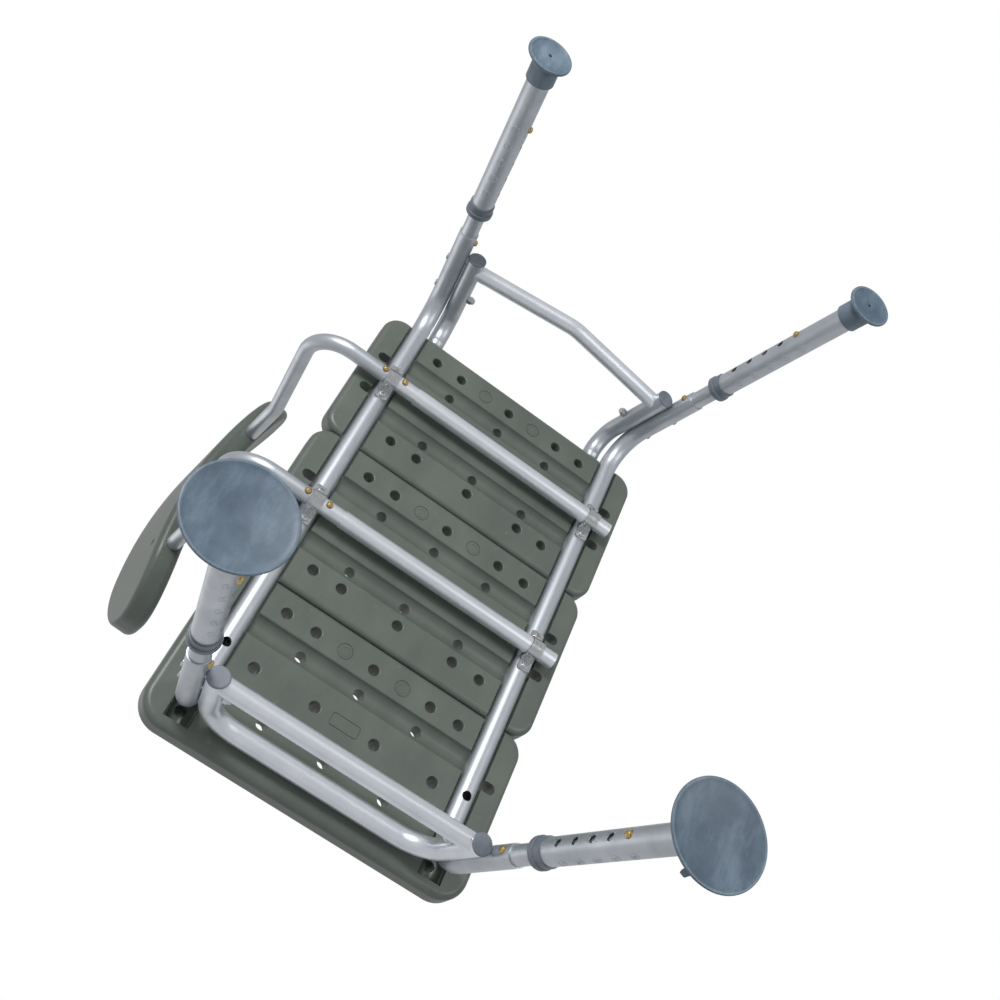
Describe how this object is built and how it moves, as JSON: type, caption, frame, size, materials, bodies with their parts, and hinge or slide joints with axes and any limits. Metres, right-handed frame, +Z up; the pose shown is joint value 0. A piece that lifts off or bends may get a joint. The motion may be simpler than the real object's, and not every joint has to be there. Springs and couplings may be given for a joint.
{
  "type": "bath transfer bench",
  "caption": "Long slatted plastic bath seat on splayed height-adjustable aluminium legs, with a curved backrest on two posts; cups grip the tub, tips stand on the floor.",
  "frame": {"origin": "on the floor, midway between the outermost points in plan", "axes": "+X along the bench towards the tub end, +Y towards the backrest, +Z up"},
  "size_m": [0.7832, 0.6068, 0.8818],
  "materials": {
    "satin_aluminium": "satin anodised tube",
    "grey_rubber": "matte blue-grey moulded rubber",
    "blue_grey_plastic": "blue-grey moulded plastic",
    "seat_plastic": "fine-grained grey-green blow-moulded plastic",
    "spring_steel": "rolled spring strip",
    "brass_buttons": "yellow passivated",
    "bright_steel": "zinc plated"
  },
  "bodies": {
    "bench_frame": {"acorn_nuts": "bright_steel", "brace_bar_outer": "satin_aluminium", "brace_bar_tub": "satin_aluminium", "brace_inserts": "satin_aluminium", "button_springs": "spring_steel", "cross_sleeve_1": "satin_aluminium", "cross_sleeve_2": "satin_aluminium", "cross_tube_1": "satin_aluminium", "cross_tube_2": "satin_aluminium", "end_frame_tub": "satin_aluminium", "end_stub_outer_back": "satin_aluminium", "end_stub_outer_front": "satin_aluminium", "frame_bolts": "bright_steel", "leg_insert_outer_back": "satin_aluminium", "leg_insert_outer_front": "satin_aluminium", "leg_insert_tub_back": "satin_aluminium", "leg_insert_tub_front": "satin_aluminium", "post_connector_1": "satin_aluminium", "post_connector_2": "satin_aluminium", "rail_screws": "bright_steel", "saddle_brackets": "bright_steel", "saddle_screws": "bright_steel", "seat_panel_middle": "seat_plastic", "seat_panel_outer": "seat_plastic", "seat_panel_tub": "seat_plastic", "side_frame_back": "satin_aluminium", "side_frame_front": "satin_aluminium", "stub_plugs": "blue_grey_plastic"},
    "leg_outer_back": {"leg_extension_outer_back": "satin_aluminium", "leg_collar_outer_back": "blue_grey_plastic", "rubber_tip_outer_back": "grey_rubber"},
    "leg_outer_front": {"leg_extension_outer_front": "satin_aluminium", "leg_collar_outer_front": "blue_grey_plastic", "rubber_tip_outer_front": "grey_rubber"},
    "leg_tub_back": {"leg_extension_tub_back": "satin_aluminium", "leg_collar_tub_back": "blue_grey_plastic", "suction_cup_tub_back": "grey_rubber"},
    "leg_tub_front": {"leg_extension_tub_front": "satin_aluminium", "leg_collar_tub_front": "blue_grey_plastic", "suction_cup_tub_front": "grey_rubber"},
    "height_button_outer_back": {"height_button_outer_back": "brass_buttons"},
    "socket_button_outer_back": {"socket_button_outer_back": "brass_buttons"},
    "height_button_outer_front": {"height_button_outer_front": "brass_buttons"},
    "socket_button_outer_front": {"socket_button_outer_front": "brass_buttons"},
    "height_button_tub_back": {"height_button_tub_back": "brass_buttons"},
    "socket_button_tub_back": {"socket_button_tub_back": "brass_buttons"},
    "height_button_tub_front": {"height_button_tub_front": "brass_buttons"},
    "socket_button_tub_front": {"socket_button_tub_front": "brass_buttons"},
    "cross_button_1": {"cross_button_1": "brass_buttons"},
    "post_button_1": {"post_button_1": "brass_buttons"},
    "cross_button_2": {"cross_button_2": "brass_buttons"},
    "post_button_2": {"post_button_2": "brass_buttons"},
    "backrest_unit": {"back_post_1": "satin_aluminium", "back_post_2": "satin_aluminium", "backrest": "seat_plastic", "backrest_screws": "bright_steel"}
  },
  "joints": [
    {"name": "leg_length_outer_back", "type": "slide", "parent": "bench_frame", "child": "leg_outer_back", "axis": [-0.0384, 0.1684, -0.985], "range_m": [0, 0.1016], "deforming": ["height_button_outer_back"]},
    {"name": "leg_length_outer_front", "type": "slide", "parent": "bench_frame", "child": "leg_outer_front", "axis": [-0.0384, -0.1684, -0.985], "range_m": [0, 0.1016], "deforming": ["height_button_outer_front"]},
    {"name": "leg_length_tub_back", "type": "slide", "parent": "bench_frame", "child": "leg_tub_back", "axis": [0.0384, 0.1684, -0.985], "range_m": [0, 0.1016], "deforming": ["height_button_tub_back"]},
    {"name": "leg_length_tub_front", "type": "slide", "parent": "bench_frame", "child": "leg_tub_front", "axis": [0.0384, -0.1684, -0.985], "range_m": [0, 0.1016], "deforming": ["height_button_tub_front"]},
    {"name": "height_press_outer_back", "type": "slide", "parent": "bench_frame", "child": "height_button_outer_back", "axis": [0.0066, 0.9857, 0.1682], "range_m": [0, 0.004], "stiffness_N_per_m": 800, "springref_m": -0.002, "deforming": ["button_springs"]},
    {"name": "socket_press_outer_back", "type": "slide", "parent": "bench_frame", "child": "socket_button_outer_back", "axis": [0.0066, 0.9857, 0.1682], "range_m": [0, 0.004], "stiffness_N_per_m": 800, "springref_m": -0.002, "deforming": ["button_springs"]},
    {"name": "height_press_outer_front", "type": "slide", "parent": "bench_frame", "child": "height_button_outer_front", "axis": [0.0066, -0.9857, 0.1682], "range_m": [0, 0.004], "stiffness_N_per_m": 800, "springref_m": -0.002, "deforming": ["button_springs"]},
    {"name": "socket_press_outer_front", "type": "slide", "parent": "bench_frame", "child": "socket_button_outer_front", "axis": [0.0066, -0.9857, 0.1682], "range_m": [0, 0.004], "stiffness_N_per_m": 800, "springref_m": -0.002, "deforming": ["button_springs"]},
    {"name": "height_press_tub_back", "type": "slide", "parent": "bench_frame", "child": "height_button_tub_back", "axis": [-0.0066, 0.9857, 0.1682], "range_m": [0, 0.004], "stiffness_N_per_m": 800, "springref_m": -0.002, "deforming": ["button_springs"]},
    {"name": "socket_press_tub_back", "type": "slide", "parent": "bench_frame", "child": "socket_button_tub_back", "axis": [-0.0066, 0.9857, 0.1682], "range_m": [0, 0.004], "stiffness_N_per_m": 800, "springref_m": -0.002, "deforming": ["button_springs"]},
    {"name": "height_press_tub_front", "type": "slide", "parent": "bench_frame", "child": "height_button_tub_front", "axis": [-0.0066, -0.9857, 0.1682], "range_m": [0, 0.004], "stiffness_N_per_m": 800, "springref_m": -0.002, "deforming": ["button_springs"]},
    {"name": "socket_press_tub_front", "type": "slide", "parent": "bench_frame", "child": "socket_button_tub_front", "axis": [-0.0066, -0.9857, 0.1682], "range_m": [0, 0.004], "stiffness_N_per_m": 800, "springref_m": -0.002, "deforming": ["button_springs"]},
    {"name": "cross_press_1", "type": "slide", "parent": "bench_frame", "child": "cross_button_1", "axis": [0, 0, 1], "range_m": [0, 0.004], "stiffness_N_per_m": 800, "springref_m": -0.002, "deforming": ["button_springs"]},
    {"name": "post_press_1", "type": "slide", "parent": "bench_frame", "child": "post_button_1", "axis": [0, 0, 1], "range_m": [0, 0.004], "stiffness_N_per_m": 800, "springref_m": -0.002, "deforming": ["button_springs"]},
    {"name": "cross_press_2", "type": "slide", "parent": "bench_frame", "child": "cross_button_2", "axis": [0, 0, 1], "range_m": [0, 0.004], "stiffness_N_per_m": 800, "springref_m": -0.002, "deforming": ["button_springs"]},
    {"name": "post_press_2", "type": "slide", "parent": "bench_frame", "child": "post_button_2", "axis": [0, 0, 1], "range_m": [0, 0.004], "stiffness_N_per_m": 800, "springref_m": -0.002, "deforming": ["button_springs"]},
    {"name": "backrest_pull", "type": "slide", "parent": "bench_frame", "child": "backrest_unit", "axis": [0, 1, 0], "range_m": [0, 0.08], "deforming": ["post_button_1", "post_button_2"]}
  ]
}
